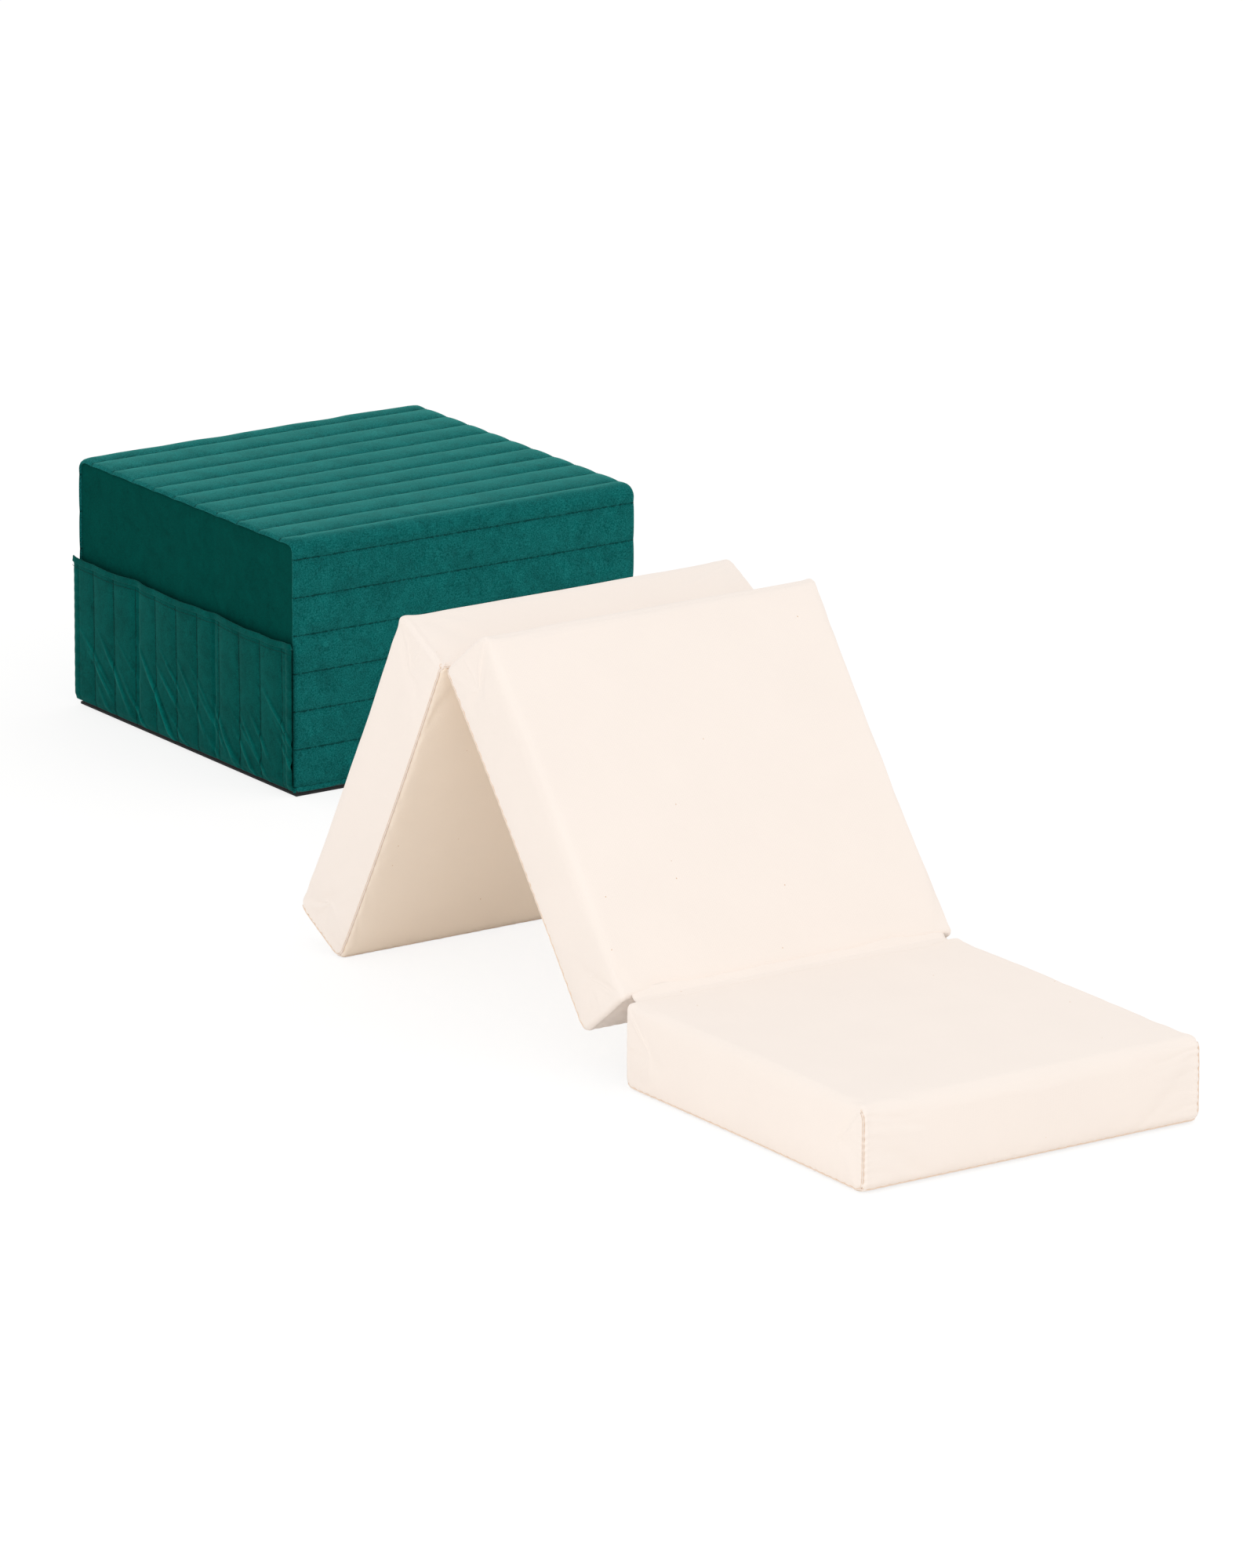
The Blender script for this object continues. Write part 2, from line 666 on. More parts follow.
def repeat_along(name, paths, pitch, size, finish, across=None, jitter=0.0):
    """A row of little rounded bars along each path, one every pitch: stitches lie along the path, and
    zip teeth lie across it. Size is (thickness, length), and jitter makes some of them smaller."""
    points, edges = [], []
    for path in paths:
        base = len(points)
        points += [tuple(point) for point in path]
        edges += [(base + i, base + i + 1) for i in range(len(path) - 1)]
    mesh = bpy.data.meshes.new(name)
    mesh.from_pydata(points, edges, [])
    piece = bpy.data.objects.new(name, mesh)
    bpy.context.scene.collection.objects.link(piece)
    tree = bpy.data.node_groups.new(f"{name}_row", "GeometryNodeTree")
    tree.interface.new_socket("Path", in_out="INPUT", socket_type="NodeSocketGeometry")
    sizes = {"Pitch": pitch, "Thickness": size[0], "Length": size[1]}
    for key in sizes:
        tree.interface.new_socket(key, in_out="INPUT", socket_type="NodeSocketFloat")
    tree.interface.new_socket("Geometry", in_out="OUTPUT", socket_type="NodeSocketGeometry")
    start = add_node(tree, "NodeGroupInput")
    curve = add_node(tree, "GeometryNodeMeshToCurve", {"Mesh": (start, "Path")})
    spots = add_node(
        tree, "GeometryNodeCurveToPoints", {"Curve": (curve, "Curve"), "Length": (start, "Pitch")},
        mode="LENGTH",
    )
    radius = add_node(tree, "ShaderNodeMath", {0: (start, "Thickness"), 1: 0.5}, operation="MULTIPLY")
    bar = add_node(
        tree, "GeometryNodeMeshCylinder",
        {"Vertices": 6, "Side Segments": 2, "Radius": (radius, "Value"), "Depth": (start, "Length")},
    )
    way = (spots, "Tangent") if across is None else across
    turn = add_node(tree, "FunctionNodeAlignRotationToVector", {"Vector": way}, axis="Z")
    varied = add_node(
        tree, "FunctionNodeRandomValue", {"Min": 1.0 - jitter, "Max": 1.0, "Seed": 1},
        data_type="FLOAT",
    )
    bars = add_node(
        tree, "GeometryNodeInstanceOnPoints",
        {"Points": (spots, "Points"), "Instance": (bar, "Mesh"), "Rotation": (turn, "Rotation")},
    )
    random_size = [socket for socket in varied.outputs if socket.type == "VALUE" and socket.enabled][0]
    tree.links.new(random_size, bars.inputs["Scale"])
    real = add_node(tree, "GeometryNodeRealizeInstances", {"Geometry": (bars, "Instances")})
    smooth = add_node(tree, "GeometryNodeSetShadeSmooth", {"Geometry": (real, "Geometry")})
    dressed = add_node(
        tree, "GeometryNodeSetMaterial",
        {"Geometry": (smooth, "Geometry"), "Material": material(finish)},
    )
    add_node(tree, "NodeGroupOutput", {"Geometry": (dressed, "Geometry")})
    row = piece.modifiers.new("row", "NODES")
    row.node_group = tree
    for item in tree.interface.items_tree:
        if item.in_out == "INPUT" and item.name in sizes:
            row[item.identifier] = sizes[item.name]
    made_plain(piece)
    bpy.data.node_groups.remove(tree)
    return piece


def placed(piece, body, nodes=()):
    """Rides a finished piece on its body, and says what it stands for and takes its finish from."""
    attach(piece, body)
    if nodes:
        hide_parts(*nodes)
    return piece


# Mattress


def section_place(name):
    """The matrix from a section's own axes (across, along, up from its underside) to the frame."""
    mattress = settings().mattress
    if name == "front":
        return Matrix.Identity(4)
    along = -Vector(JOINTS[f"{name}_zip_slide"]["axis"])
    across = Vector((1, 0, 0))
    up = across.cross(along)
    reach = JOINTS["fold_front"]["pos_m"][1]
    lift = JOINTS["fold_front"]["pos_m"][2] - mattress.thickness
    if name == "middle":
        origin = Vector(JOINTS["fold_front"]["pos_m"]) + along * reach
        origin -= up * (mattress.thickness + lift)
    else:
        origin = Vector(JOINTS["fold_rear"]["pos_m"]) + along * reach + up * lift
    turned = Matrix((across, along, up)).transposed().to_4x4()
    return Matrix.Translation(origin) @ turned


def moved(points, matrix):
    """Points taken through a matrix."""
    array = np.array(matrix, float)
    return points @ array[:3, :3].T + array[:3, 3]


# Which ends of a section join a fold, as (end, face): the others are rolled more
FOLD_CORNERS = {"front": ((1, 1),), "middle": ((-1, 1), (1, -1)), "rear": ((-1, -1),)}
# How far apart a cover's points are, at its seams and away from them
GRID_FINE = 0.004
GRID_COARSE = 0.012
# Rows of points on half a long side, and the row beside them that its seams follow
SIDE_ROWS = 8
SEAM_ROW = SIDE_ROWS + 1


def section_ring(name, along, heights):
    """A section's lengthwise outline, from its rear top corner round: sharp places and rolled ones."""
    mattress = settings().mattress
    half, middle = mattress.length / 2, mattress.thickness / 2
    ring = [(place, 2 * middle) for place in along]
    ring += [(half, height) for height in reversed(heights[1:-1])]
    ring += [(place, 0.0) for place in reversed(along)]
    ring += [(-half, height) for height in heights[1:-1]]
    rolled = []
    for place, height in ring:
        end, face = (1 if place > 0 else -1), (1 if height > middle else -1)
        radius = mattress.fold_radius if (end, face) in FOLD_CORNERS[name] else mattress.free_radius
        centre = np.array((end * (half - radius), middle + face * (middle - radius)))
        out = np.array((place, height)) - centre
        if out[0] * end > 0 and out[1] * face > 0:
            out = out * radius / np.linalg.norm(out)
            rolled.append(tuple(centre + out))
        else:
            rolled.append((place, height))
    return np.array(ring), np.array(rolled)


def cover_grid(name):
    """The cover's rest shape in the section's own axes: rows across the width, each a closed ring.
    Comes with the ring before its edges are rolled and each row's place and depth in a long side."""
    mattress = settings().mattress
    half_width, half_length, middle = mattress.width / 2, mattress.length / 2, mattress.thickness / 2
    along = graded(mattress.length, GRID_FINE, GRID_COARSE)
    heights = [middle + place for place in graded(mattress.thickness, GRID_FINE, 0.0045)]
    sharp, rolled = section_ring(name, along, heights)
    spine = np.clip(sharp[:, 0], -half_length + middle, half_length - middle)
    spine = np.stack([spine, np.full(len(spine), middle)], 1)
    roll = mattress.side_roll
    turns = np.linspace(0, pi / 2, 6)[1:-1]
    rows = [(-half_width, depth) for depth in np.linspace(middle, roll, SIDE_ROWS)]
    rows += [(-half_width + roll * (1 - cos(a)), roll * (1 - sin(a))) for a in turns]
    right = [(-place, depth) for place, depth in reversed(rows)]
    rows += [(place, 0.0) for place in graded(mattress.width - 2 * roll, 0.005, 0.0125)] + right
    grid = []
    for across, depth in rows:
        share = depth / middle
        ring = spine + (rolled - spine) * (1 - share)
        swell = 1 - (across / half_width) ** 2
        bow_along = 1 - (ring[:, 0] / half_length) ** 2
        bow_up = 1 - ((ring[:, 1] - middle) / middle) ** 2
        drawn = np.sign(across) * mattress.side_draw * bow_along * (abs(across) / half_width) ** 6
        face = np.sign(ring[:, 1] - middle) * np.clip(bow_along, 0, 1) * (1 - share)
        # The front section lies flat on the floor; the others' undersides swell a little less
        face[ring[:, 1] < middle] *= 0 if name == "front" else 0.75
        up = ring[:, 1] + face * mattress.crown * (0.25 + 0.75 * swell)
        end = np.sign(ring[:, 0]) * np.clip(bow_up, 0, 1) * (abs(ring[:, 0]) / half_length) ** 30
        out = ring[:, 0] + end * mattress.end_bulge * (0.3 + 0.7 * swell)
        grid.append(np.stack([np.full(len(ring), across) - drawn, out, up], 1))
    return np.array(grid), sharp, rows


# The cotton in the simulation, which is blown up a little from inside
COTTON = {
    "quality": 4, "mass": 0.2, "tension_stiffness": 25, "compression_stiffness": 25,
    "shear_stiffness": 8, "bending_stiffness": 0.25, "use_pressure": True,
    "uniform_pressure_force": 0.4,
}
SETTLING_FRAMES = 16


def settled(piece, held, ease, limit):
    """Lets the cotton, cut larger than what it covers, find its own creases. Its seams are held, and
    no point moves further than the limit."""
    scene = bpy.context.scene
    start = coordinates(piece.data)
    work = bpy.data.objects.new("settling", piece.data.copy())
    scene.collection.objects.link(work)
    group = work.vertex_groups.new(name="seams")
    for index in np.nonzero(held > 0.02)[0]:
        group.add([int(index)], float(held[index]), "REPLACE")
    cloth = work.modifiers.new("cloth", "CLOTH")
    for key, value in COTTON.items():
        setattr(cloth.settings, key, value)
    cloth.settings.vertex_group_mass = "seams"
    cloth.settings.shrink_min = -ease
    cloth.settings.effector_weights.gravity = 0.0
    cloth.collision_settings.use_collision = False
    cloth.point_cache.frame_start = 1
    cloth.point_cache.frame_end = SETTLING_FRAMES
    for number in range(1, SETTLING_FRAMES + 1):
        scene.frame_set(number)
    graph = bpy.context.evaluated_depsgraph_get()
    result = bpy.data.meshes.new_from_object(work.evaluated_get(graph))
    move = coordinates(result) - start
    far = np.linalg.norm(move, axis=1, keepdims=True)
    gentle = limit * np.tanh(far / limit) / np.maximum(far, 1e-9)
    set_coordinates(piece.data, start + move * gentle)
    mesh = work.data
    bpy.data.objects.remove(work)
    bpy.data.meshes.remove(mesh)
    bpy.data.meshes.remove(result)
    scene.frame_set(1)


class BED_OT_covers(bpy.types.Operator):
    """The three cotton covers, with their seams, gathers and creases."""

    bl_idname = "bed.covers"
    bl_label = "Mattress covers"

    def execute(self, context):
        for number, name in enumerate(SECTIONS):
            make_cover(name, number)
        return {"FINISHED"}


# Half the length and half the width of the zip's place in a border, which stays flat
ZIP_HALF = 0.245
ZIP_TAPE_HALF = 0.014


def make_cover(name, number):
    """One section's cover and the narrow seams that stand out on it."""
    mattress = settings().mattress
    half_width, half_length = mattress.width / 2, mattress.length / 2
    grid, sharp, rows = cover_grid(name)
    row_count, column_count = grid.shape[:2]
    points, faces, place = welded(
        grid.reshape(-1, 3), grid_faces(row_count, column_count, closed=True)
    )
    lengths = np.concatenate([[0], np.cumsum(np.linalg.norm(np.diff(sharp, axis=0), axis=1))])
    uvs = np.zeros((len(points), 2))
    spread = np.repeat([across + np.sign(across) * depth for across, depth in rows], column_count)
    uvs[place] = np.stack([np.tile(lengths, row_count), spread], 1)
    piece = new_piece(f"{name}_cover", points, faces, ["cotton_percale", "cotton_underside"], uvs)
    for face in piece.data.polygons:
        if face.center.z < mattress.seam_height and abs(face.normal.z) > 0.7:
            face.material_index = 1
    side_gap, end_gap = half_width - abs(points[:, 0]), half_length - abs(points[:, 1])
    low_far = np.hypot(points[:, 2] - mattress.seam_height, np.minimum(side_gap, end_gap))
    seam_far = np.minimum(np.hypot(side_gap, end_gap), low_far)
    held = np.clip(1 - seam_far / 0.012, 0, 1) ** 0.5
    if name == "front":
        held = np.maximum(held, np.clip(1 - points[:, 2] / 0.003, 0, 1))
    zip_up = abs(points[:, 2] - mattress.thickness / 2) - ZIP_TAPE_HALF
    zip_far = np.maximum(abs(points[:, 1]) - ZIP_HALF, zip_up)
    in_border = points[:, 0] > half_width - 2 * mattress.side_draw
    free = np.where(in_border, np.clip(zip_far / 0.012, 0, 1), 1.0)
    held = np.maximum(held, 1 - free)
    settled(piece, held, mattress.ease, 0.0024)
    shape, out = coordinates(piece.data), normals_of(piece.data)
    uneven = 0.6 * clouds(points, 0.16, 11 + number, 2)
    quiet = np.clip(points[:, 2] / 0.01, 0, 1) if name == "front" else 1.0
    shape += out * (0.0012 * uneven * np.clip(seam_far / 0.05, 0, 1) * quiet * free)[:, None]
    shape -= out * (0.0009 * np.exp(-((seam_far / 0.003) ** 2)))[:, None]
    set_coordinates(piece.data, shape)
    subdivided(piece)
    gathers(piece, name, number)
    kept_clear(piece)
    cover_seams(piece, grid, name)
    piece.data.transform(section_place(name))
    placed(piece, f"{name}_section", [
        f"{name}_cover_top", f"{name}_cover_underside", f"{name}_foam_core",
    ])


# Creases from an upper corner over the end face: each from (aside, down) to (aside, down) of the
# corner, then its depth and its width
CORNER_CREASES = (
    (0.012, 0.016, 0.075, 0.028, 0.0016, 0.0042),
    (0.010, 0.030, 0.110, 0.046, 0.0013, 0.0060),
    (0.010, 0.052, 0.060, 0.060, 0.0008, 0.0040),
    (0.010, 0.078, 0.085, 0.084, 0.0007, 0.0060),
    (0.010, 0.108, 0.050, 0.112, 0.0006, 0.0040),
)
# Creases along the middle section's upper edge: how far in, how deep and how wide
EDGE_CREASES = ((0.0105, 0.0007, 0.0022), (0.0185, 0.0005, 0.0025))
# From one gather to the next, beside a corner seam and beside the low seam
CORNER_GATHER = 0.0115
LOW_GATHER = 0.019


def gathers(piece, name, number):
    """Small gathers square to the seams, and longer creases from the upper corners over the ends."""
    mattress = settings().mattress
    mesh = piece.data
    points, out = coordinates(mesh), normals_of(mesh)
    side_gap = mattress.width / 2 - abs(points[:, 0])
    end_gap = mattress.length / 2 - abs(points[:, 1])
    corner_far = np.hypot(side_gap, end_gap)
    low_far = np.hypot(points[:, 2] - mattress.seam_height, np.minimum(abs(side_gap), abs(end_gap)))
    warped = points[:, 2] + 0.004 * clouds(points, 0.05, 31 + number)
    # Which points are at an end that has upright corner seams
    sewn = {"front": points[:, 1] < 0, "rear": points[:, 1] > 0}.get(name, np.zeros(len(points), bool))
    beside_corner = np.sin(warped * 2 * pi / CORNER_GATHER) * np.exp(-corner_far / 0.012) * sewn
    run = np.where(abs(side_gap) < abs(end_gap), points[:, 1], points[:, 0])
    run = run + 0.006 * clouds(points, 0.07, 41 + number)
    beside_low = np.sin(run * 2 * pi / LOW_GATHER) * np.exp(-low_far / 0.010)
    patchy = 0.55 + 0.45 * clouds(points, 0.045, 51 + number)
    height = mattress.pucker * patchy * (beside_corner + 0.8 * beside_low)
    on_end = np.exp(-((end_gap / 0.012) ** 2))
    down = mattress.thickness - points[:, 2]
    for start_x, start_z, end_x, end_z, tall, wide in CORNER_CREASES:
        share = np.clip((side_gap - start_x) / (end_x - start_x), 0, 1)
        line = start_z + (end_z - start_z) * share
        past = np.clip(np.maximum(start_x - side_gap, side_gap - end_x), 0, None)
        crease = tall * on_end * np.exp(-((past / 0.012) ** 2))
        crease *= np.exp(-(((down - line) / wide) ** 2)) * (1 - 0.6 * share)
        height -= crease * np.where(sewn, 1.25, 0.6)
    if name == "middle":
        upper = np.clip((points[:, 2] - 0.9 * mattress.thickness) / 0.004, 0, 1)
        wander = 0.002 * clouds(points, 0.12, 57)
        for gap, tall, wide in EDGE_CREASES:
            edge = np.exp(-(((end_gap - (gap + wander)) / wide) ** 2))
            height -= upper * tall * edge * (points[:, 1] > 0)
    if name == "rear":
        # A fan of little creases at the low left corner of the near end
        corner_side, corner_up = mattress.width / 2 + points[:, 0], points[:, 2]
        reach = np.hypot(corner_side, corner_up)
        fan = np.sin(np.arctan2(corner_up, corner_side) * 11 + 20 * reach)
        fan *= np.exp(-reach / 0.045) * np.clip(reach / 0.006, 0, 1)
        height += 0.0013 * fan * on_end * (points[:, 1] < 0)
    if name == "front":
        height *= np.clip(points[:, 2] / 0.004, 0, 1)
    points += out * height[:, None]
    set_coordinates(mesh, points)


def kept_clear(piece):
    """Eases back what stands out of a section further than half the room that the folds leave, so
    that sections lie face to face or end to end without cutting into each other."""
    mattress = settings().mattress
    hinge = JOINTS["fold_front"]["pos_m"]
    middle, half_length = mattress.thickness / 2, mattress.length / 2
    points = coordinates(piece.data)
    for axis, centre, half, room in (
        (1, 0.0, half_length, hinge[1] - half_length),
        (2, middle, middle, hinge[2] - mattress.thickness),
    ):
        spare = room - 0.0003
        away = points[:, axis] - centre
        beyond = np.clip(abs(away) - half, 0, None)
        reach = half + spare * np.tanh(beyond / spare)
        points[:, axis] = np.where(beyond > 0, centre + np.sign(away) * reach, points[:, axis])
    set_coordinates(piece.data, points)


def nearest_finder(points):
    """A function that gives the number of the point nearest to a place."""
    tree = KDTree(len(points))
    for index, point in enumerate(points):
        tree.insert(point, index)
    tree.balance()
    return lambda place: tree.find(Vector(place))[1]


def cover_seams(piece, grid, name):
    """The seams of a cover, one down each upright corner and one round the underside, with the threads
    beside them and the thread ends that were left long."""
    mattress = settings().mattress
    half_width, half_length = mattress.width / 2, mattress.length / 2
    surface, out = coordinates(piece.data), normals_of(piece.data)
    nearest = nearest_finder(surface)
    # A ring runs over the top, down the far end, back along the underside and up the near end
    columns = grid.shape[1]
    along = len(graded(mattress.length, GRID_FINE, GRID_COARSE))
    far_top, far_low, near_low = along - 1, columns // 2, columns // 2 + along - 1
    rims = (SEAM_ROW, grid.shape[0] - 1 - SEAM_ROW)
    paths = []
    for row in rims:
        if name == "rear":
            paths.append(grid[row, far_top : far_low + 1])
        if name == "front":
            paths.append(grid[row, list(range(near_low, columns)) + [0]])
    low = (
        grid[rims[0], far_low : near_low + 1],
        grid[rims[0] + 1 : rims[1] + 1, near_low],
        grid[rims[1], far_low:near_low][::-1],
        grid[rims[0] : rims[1], far_low][::-1],
    )
    paths.append(np.concatenate(low))
    lines, outwards = [], []
    for path in paths:
        numbers = [nearest(point) for point in resampled(path, 0.004)]
        line, away = smoothed(surface[numbers], 2), smoothed(out[numbers], 2)
        if name == "front":
            line[:, 2] = np.maximum(line[:, 2], mattress.ridge + 0.0006)
        lines.append(line)
        outwards.append(away / np.linalg.norm(away, axis=1, keepdims=True))
    if name == "front":
        thread_end("front_thread_knot", name, lines[0][-1], (-1, -1, 0.4), (0, 0.3, 1), 0.0022)
        thread_end("front_thread_tuft", name, lines[0][0], (-1, -1, -0.2), (0.4, -0.4, 0), 0.0026)
    if name == "rear":
        low_seam = lines[-1]
        corner = np.hypot(low_seam[:, 0] + half_width, low_seam[:, 1] + half_length).argmin()
        thread_end("rear_thread_hook", name, low_seam[corner], (-1, -0.6, 0.3), (0, -1, 0.5), 0.0040)
    tall = mattress.ridge
    roll = [(-0.0010, -0.0016), (-0.0008, tall * 0.6), (-0.0003, tall), (0.0003, tall),
            (0.0008, tall * 0.6), (0.0010, -0.0016)]
    seam = swept(f"{name}_cover_seams", lines, outwards, roll, "cotton_percale")
    seam.data.transform(section_place(name))
    placed(seam, f"{name}_section")
    strand = ((-0.0004, -0.0008), (-0.0003, 0.0009), (0.0003, 0.0009), (0.0004, -0.0008))
    for side, shift in (("outer", 0.0015), ("inner", -0.0015)):
        profile = [(shift + a, b) for a, b in strand]
        thread = swept(f"{name}_seam_thread_{side}", lines, outwards, profile, "seam_thread")
        thread.data.transform(section_place(name))
        placed(thread, f"{name}_section")


THREAD_RADIUS = 0.00045


def thread_end(piece_name, section, spot, out, along, size):
    """A short end of seam thread that curls out of a seam and back to it."""
    out, along = np.array(out, float), np.array(along, float)
    out, along = out / np.linalg.norm(out), along / np.linalg.norm(along)
    turns = np.linspace(-0.3, 3.3, 14)
    path = np.array([spot + out * size * sin(a) + along * size * (1 - cos(a)) for a in turns])
    across = np.tile(np.cross(out, along), (len(path), 1))
    profile = [
        (THREAD_RADIUS * cos(a), THREAD_RADIUS * sin(a))
        for a in np.linspace(0, 2 * pi, 6, endpoint=False)
    ]
    end = swept(piece_name, [path], [across], profile, "seam_thread")
    end.data.transform(section_place(section))
    placed(end, f"{section}_section")


class BED_OT_folds(bpy.types.Operator):
    """The two fabric folds between the sections."""

    bl_idname = "bed.folds"
    bl_label = "Fabric folds"

    def execute(self, context):
        for fold in FOLDS:
            make_fold(*fold)
        return {"FINISHED"}


# Each fold's piece, joint, two sections, face that it is sewn to and solids that it stands for
FOLDS = (
    ("front_fold_cloth", "fold_front", "front", "middle", 1,
     ("front_fold_tape_lower", "front_fold_tape_upper")),
    ("rear_fold_cloth", "fold_rear", "middle", "rear", -1,
     ("rear_fold_tape_upper", "rear_fold_tape_lower")),
)
FOLD_CLOTH_INSET = 0.021
FOLD_REACH = 0.019
FOLD_SHARES = (1.0, 0.86, 0.7, 0.52, 0.36, 0.22, 0.1, 0.03)
# How far from the axis the cloth bends, and how thick it is
CLOTH_THICKNESS = 0.0009


def make_fold(name, joint, first, second, face, nodes):
    """A strip of cotton sewn to the faces of two sections, over the axis that they turn about."""
    mattress = settings().mattress
    axis = np.array(JOINTS[joint]["pos_m"])
    directions = []
    for section, end in ((first, -1), (second, 1)):
        place = np.array(section_place(section))[:3, :3]
        directions.append((place[:, 1] * end, place[:, 2] * face))
    (back, up_a), (ahead, up_b) = directions
    lift = JOINTS["fold_front"]["pos_m"][2] - mattress.thickness

    def leaves(depth):
        """Both leaves' line, this deep under the cloth's outer face."""
        falls = [(share, lift * (0.35 + 0.85 * share**1.3) + depth) for share in FOLD_SHARES]
        near = [axis + back * FOLD_REACH * share - up_a * fall for share, fall in falls]
        far = [axis + ahead * FOLD_REACH * share - up_b * fall for share, fall in falls]
        return near + far[::-1]

    ring = np.array(leaves(0.0) + leaves(CLOTH_THICKNESS)[::-1])
    width = mattress.width - 2 * FOLD_CLOTH_INSET
    rows = []
    for across in graded(width, GRID_FINE, GRID_COARSE):
        row = ring.copy()
        row[:, 0] = across
        row -= (up_a + up_b) * 0.0012 * np.exp(-(width / 2 - abs(across)) / 0.008)
        rows.append(row)
    points = np.array(rows).reshape(-1, 3)
    points += np.outer(0.0005 * clouds(points, 0.03, 61), up_a + up_b)
    cloth = new_piece(name, points, tube_faces(len(rows), len(ring)), ["cotton_percale"])
    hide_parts(*nodes)
    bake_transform(cloth)


class BED_OT_mattress_zips(bpy.types.Operator):
    """The three cream zips in the right borders."""

    bl_idname = "bed.mattress_zips"
    bl_label = "Mattress zips"

    def execute(self, context):
        for name in SECTIONS:
            make_mattress_zip(name)
        return {"FINISHED"}


ZIP_RUN_HALF = 0.230


def make_mattress_zip(name):
    """Teeth and stitching of one zip, and the finish of its tape, slider and pull."""
    place = section_place(name)
    body = f"{name}_section"
    middle = settings().mattress.thickness / 2
    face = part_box(f"{name}_zip_coil")[1].x
    ups = tuple(np.array(place)[:3, 2])

    def line(depth, offset):
        """A line along the zip, this deep in the border and this far above its middle."""
        run = np.linspace(-ZIP_RUN_HALF, ZIP_RUN_HALF, 40)
        return moved(np.array([(face - depth, along, middle + offset) for along in run]), place)

    for side, offset, nodes in (("upper", 0.0011, [f"{name}_zip_coil"]), ("lower", -0.0011, [])):
        teeth = repeat_along(
            f"{name}_zip_teeth_{side}", [line(0.0005, offset)], 0.0018, (0.0010, 0.0028),
            "cream_zip_nylon", across=ups,
        )
        placed(teeth, body, nodes)
    stitches = repeat_along(
        f"{name}_zip_stitches", [line(0.0011, -0.0095), line(0.0011, 0.0095)], 0.0042,
        (0.0007, 0.0030), "cotton_thread", jitter=0.1,
    )
    placed(stitches, body)
    finish_node(f"{name}_zip_tape", "cream_zip_weave")
    finish_node(f"{name}_zip_slider", "nickel_plate")
    finish_node(f"{name}_zip_pull", "nickel_plate")


# Case


class BED_OT_wrap(bpy.types.Operator):
    """The quilted velvet wrap over the case's front, top and back, with its stitches."""

    bl_idname = "bed.wrap"
    bl_label = "Quilted wrap"

    def execute(self, context):
        make_wrap()
        return {"FINISHED"}


# The velvet's outer line inside the solid's face, and its padding between stitches and at the hem
WRAP_INSET = 0.005
WRAP_THICKNESS = 0.0052
HEM_THICKNESS = 0.0042
HEM_RISE = 0.0022
# Where a channel's points lie in it, and where a hem's do, with the number that each is given
CHANNEL_SHARES = (0.0, 0.03, 0.09, 0.24, 0.5, 0.76, 0.91, 0.97)
FRONT_HEM = ((0, -0.5), (0.3, -0.4), (0.75, -0.2))
REAR_HEM = ((0.25, 0.2), (0.7, 0.4), (1, 0.5))


def wrap_profile():
    """The wrap's outer line in its side view, from the front hem over the top to the rear hem: each
    place and its direction outwards, with the number of its channel and the share within it. Comes
    with the places of the stitch lines along it, and the function that gives a place its spot."""
    case = settings().case
    low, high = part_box("case_wrap")
    depth, top, radius = high.y - low.y, high.z - WRAP_INSET, case.corner_radius
    straight_up, arc = top - radius, radius * pi / 2
    whole = 2 * straight_up + 2 * arc + depth - 2 * WRAP_INSET - 2 * radius

    def base(distance):
        """The spot and the outward direction this far along; the rear half mirrors the front one."""
        if distance > whole / 2:
            (y, z), (way_y, way_z) = base(whole - distance)
            return (depth - y, z), (-way_y, way_z)
        if distance < straight_up:
            return (WRAP_INSET, distance), (-1.0, 0.0)
        a = (distance - straight_up) / radius
        if a < pi / 2:
            spot = (WRAP_INSET + radius * (1 - cos(a)), straight_up + radius * sin(a))
            return spot, (-cos(a), sin(a))
        return (WRAP_INSET + radius + distance - straight_up - arc, top), (0.0, 1.0)

    lines = [case.first_line]
    while lines[-1] + case.pitch < whole - case.first_line:
        lines.append(lines[-1] + case.pitch)
    stretch = (whole - 2 * case.first_line) / (lines[-1] - lines[0])
    lines = [case.first_line + (line - case.first_line) * stretch for line in lines]
    hem, end, count = low.z - case.hem_drop, whole - low.z, len(lines) - 1
    distances = [(hem + (lines[0] - hem) * part, number) for part, number in FRONT_HEM]
    for number, (first, last) in enumerate(zip(lines, lines[1:])):
        distances += [(first + (last - first) * share, number + share) for share in CHANNEL_SHARES]
    distances.append((lines[-1], count))
    distances += [(lines[-1] + (end - lines[-1]) * part, count + more) for part, more in REAR_HEM]
    return [(base(distance), number) for distance, number in distances], lines, base


